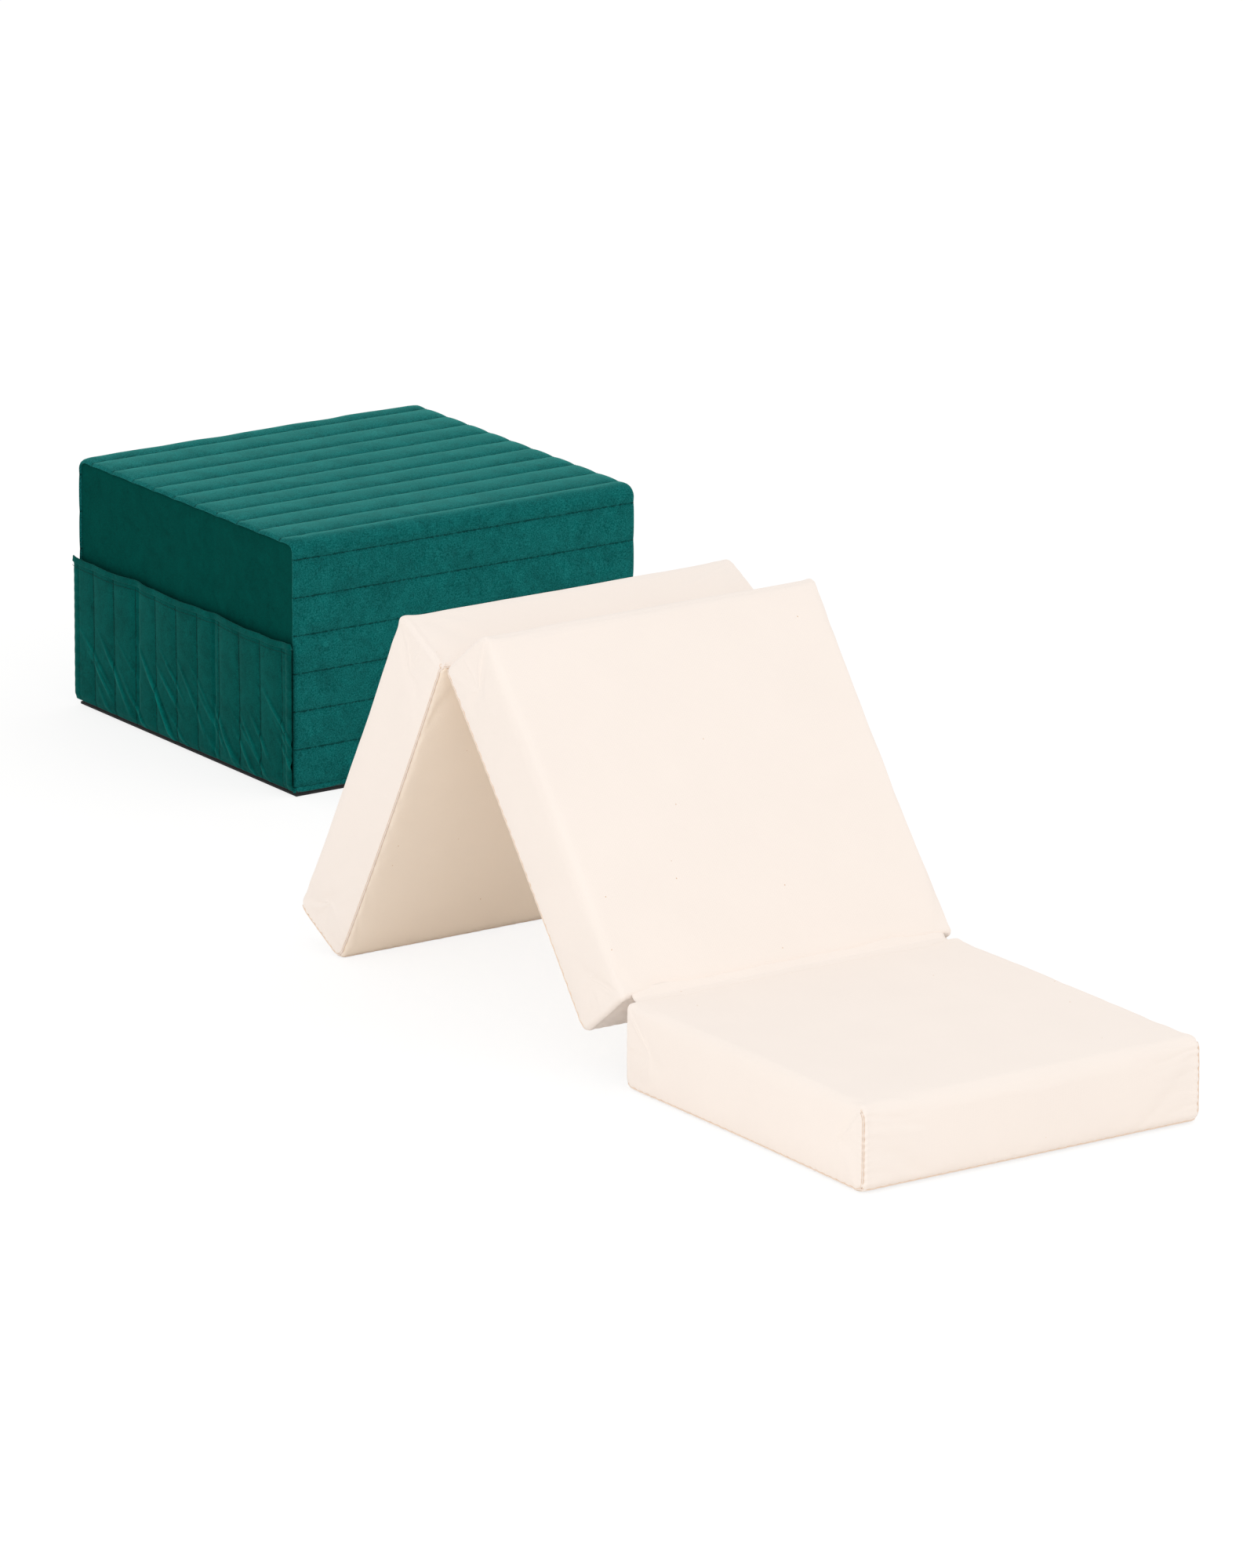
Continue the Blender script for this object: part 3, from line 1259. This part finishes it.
def make_wrap():
    """The quilted wrap over the front, top and back, its edges rolled in to the side panels."""
    case = settings().case
    low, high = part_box("case_wrap")
    profile, lines, base = wrap_profile()
    half = (high.x - low.x) / 2
    roll = case.rim_roll
    turns = np.linspace(0, pi / 2, 5)[:-1]
    rim = [(-half + roll * (1 - cos(a)), roll * (1 - sin(a))) for a in turns]
    stations = rim + [(place, 0.0) for place in graded(2 * (half - roll), 0.006, 0.0145)]
    stations += [(-place, depth) for place, depth in reversed(rim)]
    columns = []
    for (spot, way), number in profile:
        rise, thick = case.puff * (1 - abs(2 * (number % 1.0) - 1) ** 3.2), WRAP_THICKNESS
        if number < 0 or number > len(lines) - 1:
            rise, thick = HEM_RISE if number < 0 else 0.0, HEM_THICKNESS
        columns.append((np.array(spot), np.array(way), rise, thick))
    outer, inner = [], []
    for place, depth in stations:
        fade = min(1.0, 0.35 + (half - abs(place)) / 0.03)
        shift = min(half - 0.0006, abs(place)) * np.sign(place)
        for spot, way, rise, thick in columns:
            y, z = spot + way * (rise * fade - depth)
            outer.append((low.x + half + place, low.y + y, z))
            follow = min(rise, HEM_RISE) if thick == HEM_THICKNESS else 0.0
            y, z = spot + way * (follow - thick * (1 - 0.35 * depth / roll))
            inner.append((low.x + half + shift, low.y + y, z))
    rows, count = len(stations), len(columns)
    outer = np.array(outer)
    away = np.array([way for spot, way, rise, thick in columns])
    numbers = np.array([number for _, number in profile])
    lift = np.tile(np.stack([np.zeros(count), away[:, 0], away[:, 1]], 1), (rows, 1))
    across = np.repeat([place for place, depth in stations], count)
    far = half - abs(across)
    from_line = np.tile(np.minimum(numbers % 1.0, 1 - numbers % 1.0) * case.pitch, rows)
    calm = np.clip(far / 0.02, 0, 1) * np.clip(from_line / 0.012, 0.15, 1)
    outer += lift * (clouds(outer, 0.075, 3, 2) * case.dents * calm)[:, None]
    # Small creases that fan out from the upper front corner on the left
    corner = np.stack([outer[:, 0] - low.x, outer[:, 1] - low.y, high.z - outer[:, 2]], 1)
    reach = np.linalg.norm(corner, axis=1)
    fan = np.sin(corner @ (90, 25, 60) + 2.5 * clouds(outer, 0.03, 9))
    outer += lift * (0.0022 * fan * np.exp(-reach / 0.05) * np.clip(far / 0.006, 0.2, 1))[:, None]
    # Puckers beside the stitch lines, 3 cm apart
    puckers = np.sin((outer[:, 0] + 0.01 * clouds(outer, 0.06, 5)) * 2 * pi / 0.030)
    near_line = np.exp(-from_line / 0.009) * np.clip(far / 0.02, 0, 1)
    outer += lift * (0.0005 * puckers * near_line)[:, None]
    points = np.concatenate([outer, inner])
    uvs = np.tile(np.stack([np.tile(numbers, rows), across], 1), (2, 1))
    wrap = new_piece("case_quilted_wrap", points, sheet_faces(rows, count), ["velvet_wrap"], uvs)
    subdivided(wrap)
    placed(wrap, "case_hood", ["case_wrap"])
    threads = []
    for line in lines:
        (y, z), way = base(line)
        y, z = low.y + y - way[0] * 0.0002, z - way[1] * 0.0002
        run = np.linspace(-half + 0.004, half - 0.004, 60)
        threads.append([(low.x + half + x, y, z) for x in run])
    stitches = repeat_along(
        "case_wrap_stitches", threads, STITCH_PITCH, (0.0008, 0.0030), "green_thread", jitter=0.15
    )
    placed(stitches, "case_hood")


def thick_cloth(name, grid, thickness, direction, finish, uvs=None, ridge=None):
    """A closed cloth of even thickness from a grid of its outer points; direction points inwards."""
    rows, count = grid.shape[:2]
    outer = grid.reshape(-1, 3)
    points = np.concatenate([outer, outer + np.asarray(direction, float) * thickness])
    both = None if uvs is None else np.tile(uvs, (2, 1))
    piece = new_piece(name, points, sheet_faces(rows, count), [finish], both)
    if ridge is not None:
        layer = piece.data.attributes.new("ridge", "FLOAT", "POINT")
        layer.data.foreach_set("value", np.concatenate([ridge, ridge * 0]).astype(np.float32))
    subdivided(piece)
    return piece


class BED_OT_side_panel(bpy.types.Operator):
    """A plain velvet side panel."""

    bl_idname = "bed.side_panel"
    bl_label = "Side panel"
    side: case_side()

    def execute(self, context):
        make_side(self.side)
        return {"FINISHED"}


def make_side(side):
    """A plain velvet side panel, set back inside the wrap, with slack hollows and faint drags."""
    hand = HANDS[side]
    low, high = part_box(f"case_side_{side}")
    outer_x = low.x if hand < 0 else high.x
    ys = np.linspace(low.y - 0.003, high.y + 0.003, 70)
    zs = np.linspace(low.z, high.z + 0.002, 44)
    grid = np.array([[(outer_x, y, z) for y in ys] for z in zs])
    flat = grid.reshape(-1, 3)
    centre = 1 - (2 * (flat[:, 1] - low.y) / (high.y - low.y) - 1) ** 2
    centre *= 1 - (2 * (flat[:, 2] - low.z) / (high.z - low.z) - 1) ** 4
    slack = 0.0032 * clouds(flat * (1, 1, 0.6), 0.13, 71 + hand, 2) * np.clip(centre, 0, 1)
    slack -= 0.0006 * centre
    flat[:, 0] += hand * slack
    panel = thick_cloth(f"case_side_panel_{side}", grid, 0.004, (-hand, 0, 0), "velvet_side")
    placed(panel, "case_hood", [f"case_side_{side}"])


class BED_OT_pockets(bpy.types.Operator):
    """A strip of three pockets, with its stitches and the binding of its mouths."""

    bl_idname = "bed.pockets"
    bl_label = "Pocket strip"
    side: case_side()

    def execute(self, context):
        make_pockets(self.side)
        return {"FINISHED"}


# Where the pockets begin and end, as shares of the strip from its rear edge
POCKET_EDGES = (0.0, 0.30, 0.65, 1.0)
STRIP_PITCH = 0.068
STRIP_SEAT = 0.0052
SIDE_HEM = 0.020
MOUTH_HEM = 0.0095
# From one stitch to the next on the case
STITCH_PITCH = 0.0042


def bagged(share):
    """How far the pockets bag at this share of the strip: none at their seams, 1 in their middles."""
    bag = np.zeros(share.shape)
    for first, last in zip(POCKET_EDGES, POCKET_EDGES[1:]):
        bag += np.sin(pi * np.clip((share - first) / (last - first), 0, 1))
    return bag


def pocket_drags(hand, back, up, depth, tall):
    """The slanting folds of the pockets' slack: their height, and how far they push the quilting
    lines aside. Each is drawn at random from a fixed seed, and starts in its own part of a pocket."""
    case = settings().case
    generator = np.random.default_rng(19 + hand)
    drags, push = np.zeros(back.shape), np.zeros(back.shape)
    for first, last in zip(POCKET_EDGES, POCKET_EDGES[1:]):
        for k in range(case.drags):
            part = (k + generator.uniform(-0.2, 0.6)) / case.drags * 0.92
            start_back = depth * (first + (last - first) * part)
            start_up = generator.uniform(0.26, 0.72) * tall
            length = generator.uniform(0.10, 0.21)
            slope = generator.uniform(0.72, 1.15)
            bend = generator.uniform(0.3, 1.6)
            wide = generator.uniform(0.0030, 0.0056)
            strong = case.drag * generator.uniform(0.35, 1.0)
            below = start_up - up
            line = start_back + below / slope - bend * below * below
            fade = eased(below / 0.07) * eased((length - below) / 0.06)
            aside = (back - line) / wide
            crest = np.exp(-(aside**2)) - 0.2 * np.exp(-(((aside - 2.1) / 1.4) ** 2))
            drags += strong * fade * crest
            push += 0.0022 * fade * np.exp(-((aside / 3.0) ** 2))
    return drags, push


def pocket_surface(hand, y, z, box):
    """How far the pocket cloth stands out, over its quilting lines, pocket seams, hems and drags, with
    its UV map, which counts channels, and the crests of its folds."""
    low, high = box
    depth, tall = high.y - low.y, high.z - low.z
    back, up = high.y - y, (z - low.z) / tall
    points = np.stack([np.zeros(y.size), y.ravel(), z.ravel()], 1)
    drags, push = pocket_drags(hand, back, z - low.z, depth, tall)
    drifted = back + ((0.0016 * clouds(points, 0.10, 81 + hand, 2)).reshape(y.shape) + push)
    channel = drifted / STRIP_PITCH
    puff = 0.0021 * (1 - abs(2 * (channel % 1.0) - 1) ** 3.0)
    seams = [depth * part for part in POCKET_EDGES[1:-1]]
    valley = sum(np.exp(-(((drifted - seam) / 0.0030) ** 2)) for seam in seams)
    hollow = sum(np.exp(-(((back - seam) / 0.018) ** 2)) for seam in seams)
    bag = bagged(back / depth) * np.clip((up - 0.2) / 0.8, 0, 1) ** 1.5
    stand = 0.0044 + puff - 0.0034 * valley - 0.0012 * hollow + 0.0032 * bag + drags
    # The side hems: a roll, the stitch line inside it, and nips along it
    edge = np.minimum(y - low.y, high.y - y)
    stand += 0.0016 * np.exp(-(((edge - 0.009) / 0.009) ** 2))
    stand -= 0.0014 * np.exp(-(((edge - SIDE_HEM) / 0.0020) ** 2))
    nips = np.sin(z * 2 * pi / 0.019 + 2 * np.sin(z * 31.0))
    stand += 0.0009 * nips * np.exp(-(((edge - 0.012) / 0.010) ** 2))
    stand *= np.clip(up / 0.04, 0.45, 1)
    # Hems and pocket seams show no pressed quilting line
    shown = np.where(edge < SIDE_HEM, np.floor(channel) + 0.5, channel)
    near_seam = np.clip(sum(np.exp(-(((drifted - seam) / 0.0022) ** 2)) for seam in seams), 0, 1)
    shown = np.where(near_seam > 0.2, np.floor(channel) + 0.5 * (1 - near_seam), shown)
    ridge = np.clip(drags / settings().case.drag, -0.35, 1.0)
    return stand, np.stack([shown.ravel(), z.ravel()], 1), ridge.ravel()


def make_pockets(side):
    """One strip of three pockets, quilted upright, dragged slantwise, with its hemmed mouth."""
    hand = HANDS[side]
    low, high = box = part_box(f"pocket_strip_{side}")
    seat = low.x + STRIP_SEAT if hand < 0 else high.x - STRIP_SEAT
    depth = high.y - low.y
    y, z = np.meshgrid(np.linspace(low.y, high.y, 186), np.linspace(low.z, high.z, 64))
    stand, uvs, ridge = pocket_surface(hand, y, z, box)
    up = ((z - low.z) / (high.z - low.z)) ** 6
    mouth = (-0.0026 * bagged((high.y - y) / depth) + 0.0007 * np.sin(y * 61.0)) * up
    grid = np.stack([seat + hand * stand, y, z + mouth], 2)
    strip = thick_cloth(
        f"case_pockets_{side}", grid, 0.0026, (-hand, 0, 0), "velvet_pocket", uvs=uvs, ridge=ridge
    )
    placed(strip, "case_hood", [f"pocket_strip_{side}"])
    top = smoothed(grid[-1], 6)
    offset = np.array((hand, 0, 0))
    wave = (0.0004 * clouds(top, 0.025, 91 + hand))[:, None]
    roll = [(0.0000, -0.0036), (0.0006, 0.0), (0.0010, 0.0014), (0.0, 0.0024), (-0.003, 0.0018),
            (-0.006, 0.0016), (-0.0085, 0.0017), (-MOUTH_HEM, 0.0010), (-0.0099, -0.0006)]
    binding = swept(
        f"case_pocket_binding_{side}", [top + offset * wave], [np.tile(offset, (len(top), 1))],
        [(-hand * a, b) for a, b in roll], "velvet_pocket",
    )
    placed(binding, "case_hood", [f"pocket_binding_{side}"])
    # Stitches under the mouth, down the quilting lines and down the side hems
    threads = [top + offset * 0.0017 - np.array((0, 0, MOUTH_HEM - 0.0016))]
    last = grid.shape[1] - 1
    for number in range(1, 10):
        index = int(round((depth - number * STRIP_PITCH) / depth * last))
        threads.append(grid[:-4, index] + offset * 0.0002)
    inset = int(round(SIDE_HEM / depth * last))
    threads += [grid[:-4, index] + offset * 0.0003 for index in (inset, last - inset)]
    stitches = repeat_along(
        f"case_pocket_stitches_{side}", threads, STITCH_PITCH, (0.0008, 0.0029), "green_thread",
        jitter=0.15,
    )
    placed(stitches, "case_hood")


class BED_OT_case_floor(bpy.types.Operator):
    """The lining, the floor panel and the zip between the floor and the hood."""

    bl_idname = "bed.case_floor"
    bl_label = "Case lining, floor and zip"

    def execute(self, context):
        for name, finish in CAD_FINISHES.items():
            finish_node(name, finish)
        make_case_zip()
        return {"FINISHED"}


# Pieces of the case that keep their CAD shapes
CAD_FINISHES = {
    "case_lining": "lining_taffeta",
    "case_base_panel": "black_oxford",
    "case_zip_lower_chain": "black_oxford",
    "case_zip_upper_chain": "black_oxford",
    "case_zip_slider": "nickel_plate",
    "case_zip_pull": "nickel_plate",
}
CASE_TOOTH_PITCH = 0.0030
CHAIN_CORNER = 0.006


def chain_path(low, high, height, start):
    """The zip's line along the left, front and right edges of the case's floor."""
    turns = np.linspace(0, pi / 2, 6)
    rear = high.y - 0.004
    path = [(low.x, rear - start, height)]
    around = [(CHAIN_CORNER * (1 - cos(a)), CHAIN_CORNER * (1 - sin(a))) for a in turns]
    path += [(low.x + x, low.y + y, height) for x, y in around]
    path += [(high.x - y, low.y + x, height) for x, y in around]
    return path + [(high.x, rear, height)]


def make_case_zip():
    """Teeth of the zip between the case's floor and its hood, half a pitch apart on its two sides."""
    for level, body, side in (("lower", "case_base", 1), ("upper", "case_hood", -1)):
        low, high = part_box(f"case_zip_{level}_chain")
        height = (high.z if side > 0 else low.z) - side * 0.0009
        start = 0.0 if side > 0 else CASE_TOOTH_PITCH / 2
        teeth = repeat_along(
            f"case_zip_teeth_{level}", [chain_path(low, high, height, start)], CASE_TOOTH_PITCH,
            (0.0013, 0.0024), "black_zip_nylon", across=(0, 0, 1),
        )
        placed(teeth, body)


class BED_OT_case_fold(bpy.types.Operator):
    """The cloth that joins the floor to the hood."""

    bl_idname = "bed.case_fold"
    bl_label = "Case rear fold"

    def execute(self, context):
        make_case_fold()
        return {"FINISHED"}


def make_case_fold():
    """The cloth that joins the floor to the hood along the rear edge, over the hood's axis."""
    axis = JOINTS["hood_tilt"]["pos_m"]
    tape_low, tape_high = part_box("case_tape_upper")
    crest = axis[1] - 0.0004
    hood_face, floor_face = tape_low.y + 0.0012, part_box("case_base_panel")[1].y + 0.0011
    hood_reach, floor_reach = tape_high.z - axis[2], axis[2] - 0.0008
    line = []
    for t in np.linspace(1, -1, 13):
        face, reach = (hood_face, hood_reach) if t > 0 else (floor_face, floor_reach)
        ease = abs(t) * abs(t) * (3 - 2 * abs(t))
        line.append((crest + (face - crest) * ease, axis[2] + t * reach))
    ring = line + [(y - CLOTH_THICKNESS, z) for y, z in reversed(line)]
    stations = np.linspace(tape_low.x, tape_high.x, 60)
    points = np.array([[(x, y, z) for y, z in ring] for x in stations]).reshape(-1, 3)
    points[:, 1] += 0.0002 * clouds(points, 0.03, 63)
    faces = tube_faces(len(stations), len(ring))
    cloth = new_piece("case_rear_fold_cloth", points, faces, ["black_oxford"])
    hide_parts("case_tape_lower", "case_tape_upper")
    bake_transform(cloth)


# Studio


class BED_OT_studio(bpy.types.Operator):
    """The floor, the lights and the camera."""

    bl_idname = "bed.studio"
    bl_label = "Studio"

    def execute(self, context):
        make_floor()
        make_lights()
        make_camera()
        context.scene.view_settings.view_transform = "Standard"
        return {"FINISHED"}


def background_rays(tree):
    """1 for the rays that show the background: from the camera, off metal and through glass."""
    seen = add_node(tree, "ShaderNodeLightPath")
    pair = add_node(
        tree, "ShaderNodeMath", {0: (seen, "Is Camera Ray"), 1: (seen, "Is Glossy Ray")},
        operation="MAXIMUM",
    )
    return add_node(
        tree, "ShaderNodeMath", {0: (pair, "Value"), 1: (seen, "Is Transmission Ray")},
        operation="MAXIMUM",
    )


FLOOR_HALF = 30.0
# How much of the floor is seen as plain white: the rest keeps the object's shadow
FLOOR_WHITE = 0.74


def make_floor():
    """A plain pale floor that the camera sees as white but for the object's shadow."""
    size = FLOOR_HALF
    mesh = bpy.data.meshes.new("studio_floor")
    corners = [(-size, -size, 0), (size, -size, 0), (size, size, 0), (-size, size, 0)]
    mesh.from_pydata(corners, [], [(0, 1, 2, 3)])
    finish, tree, shader = new_material("studio_floor")
    feed(tree, shader, {
        "Base Color": linear(settings().studio.floor), "Roughness": 0.95, "Specular IOR Level": 0.0,
    })
    rays = background_rays(tree)
    share = add_node(
        tree, "ShaderNodeMath", {0: (rays, "Value"), 1: FLOOR_WHITE}, operation="MULTIPLY"
    )
    white = add_node(tree, "ShaderNodeEmission", {"Color": (1, 1, 1, 1), "Strength": 1.08})
    mixed = add_node(
        tree, "ShaderNodeMixShader", {0: (share, "Value"), 1: (shader, "BSDF"), 2: (white, "Emission")}
    )
    ending = [node for node in tree.nodes if node.type == "OUTPUT_MATERIAL"][0]
    feed(tree, ending, {"Surface": (mixed, "Shader")})
    mesh.materials.append(finish)
    floor = bpy.data.objects.new("studio_floor", mesh)
    bpy.context.scene.collection.objects.link(floor)
    floor.location.z = -0.0005


LIGHT_AIM = Vector((0.2, 1.1, 0.3))
# Each lamp's power in watts, size and place
LAMPS = {
    "key_light": (22, 2.4, (2.4, -3.0, 4.6)),
    "camera_side_light": (26, 3.6, (-3.4, -4.4, 1.9)),
    "left_light": (19, 2.0, (-4.8, -0.7, 0.8)),
}


def make_lights():
    """An even white surround and three soft lamps: one from the front right above, a low one beside
    the camera, and one that grazes the left side."""
    world = bpy.data.worlds.new("studio_light")
    bpy.context.scene.world = world
    world.use_nodes = True
    tree = world.node_tree
    tree.nodes.clear()
    plain = add_node(tree, "ShaderNodeBackground", {"Color": (1, 1, 1, 1), "Strength": 0.90})
    bright = add_node(tree, "ShaderNodeBackground", {"Color": (1, 1, 1, 1), "Strength": 1.0})
    mixed = add_node(
        tree, "ShaderNodeMixShader",
        {0: (background_rays(tree), "Value"), 1: (plain, "Background"), 2: (bright, "Background")},
    )
    add_node(tree, "ShaderNodeOutputWorld", {"Surface": (mixed, "Shader")})
    for name, (power, size, place) in LAMPS.items():
        lamp = bpy.data.lights.new(name, "AREA")
        lamp.size = size
        lamp.energy = power
        light = bpy.data.objects.new(name, lamp)
        bpy.context.scene.collection.objects.link(light)
        light.location = Vector(place)
        light.rotation_euler = (LIGHT_AIM - light.location).to_track_quat("-Z", "Y").to_euler()


PHOTO_WIDTH_PX = 1585
PHOTO_HEIGHT_PX = 2000
SENSOR_MM = 36.0


def make_camera():
    """The camera at the photo's viewing angle."""
    studio = settings().studio
    yaw, pitch, roll = (radians(angle) for angle in studio.turn)
    ahead = Vector((-sin(yaw) * cos(pitch), cos(yaw) * cos(pitch), -sin(pitch)))
    right = Vector((cos(yaw), sin(yaw), 0))
    up = right.cross(ahead)
    turned_right = right * cos(roll) + up * sin(roll)
    turned_up = -right * sin(roll) + up * cos(roll)
    data = bpy.data.cameras.new("photo_camera")
    data.sensor_width = SENSOR_MM
    data.lens = studio.focal_px / PHOTO_HEIGHT_PX * SENSOR_MM
    data.shift_x = (PHOTO_WIDTH_PX / 2 - studio.centre_px[0]) / PHOTO_HEIGHT_PX
    data.shift_y = (studio.centre_px[1] - PHOTO_HEIGHT_PX / 2) / PHOTO_HEIGHT_PX
    data.clip_start = 0.1
    data.clip_end = 200
    camera = bpy.data.objects.new("photo_camera", data)
    bpy.context.scene.collection.objects.link(camera)
    turn = Matrix((turned_right, turned_up, -ahead)).transposed().to_4x4()
    camera.matrix_world = Matrix.Translation(Vector(studio.place)) @ turn
    bpy.context.scene.camera = camera


# The add-on


OPERATORS = (
    BED_OT_covers, BED_OT_folds, BED_OT_mattress_zips, BED_OT_wrap, BED_OT_side_panel,
    BED_OT_pockets, BED_OT_case_floor, BED_OT_case_fold, BED_OT_studio,
)


class BED_PT_panel(bpy.types.Panel):
    """The bed's pieces, in the order in which they are made."""

    bl_idname = "BED_PT_panel"
    bl_label = "Guest bed"
    bl_space_type = "VIEW_3D"
    bl_region_type = "UI"
    bl_category = "Guest bed"

    def draw(self, context):
        for operator in OPERATORS:
            self.layout.operator(operator.bl_idname)


CLASSES = (MattressSettings, CaseSettings, StudioSettings, GuestBedSettings, *OPERATORS, BED_PT_panel)


def register():
    """Registers the classes and the scene's settings."""
    for kind in CLASSES:
        bpy.utils.register_class(kind)
    bpy.types.Scene.guest_bed = PointerProperty(type=GuestBedSettings)


def unregister():
    """Takes them away again."""
    del bpy.types.Scene.guest_bed
    for kind in reversed(CLASSES):
        bpy.utils.unregister_class(kind)


def main():
    """Makes every piece in order."""
    register()
    bpy.ops.bed.covers()
    bpy.ops.bed.folds()
    bpy.ops.bed.mattress_zips()
    bpy.ops.bed.wrap()
    for side in HANDS:
        bpy.ops.bed.side_panel(side=side)
        bpy.ops.bed.pockets(side=side)
    bpy.ops.bed.case_floor()
    bpy.ops.bed.case_fold()
    bpy.ops.bed.studio()


if __name__ == "__main__":
    main()
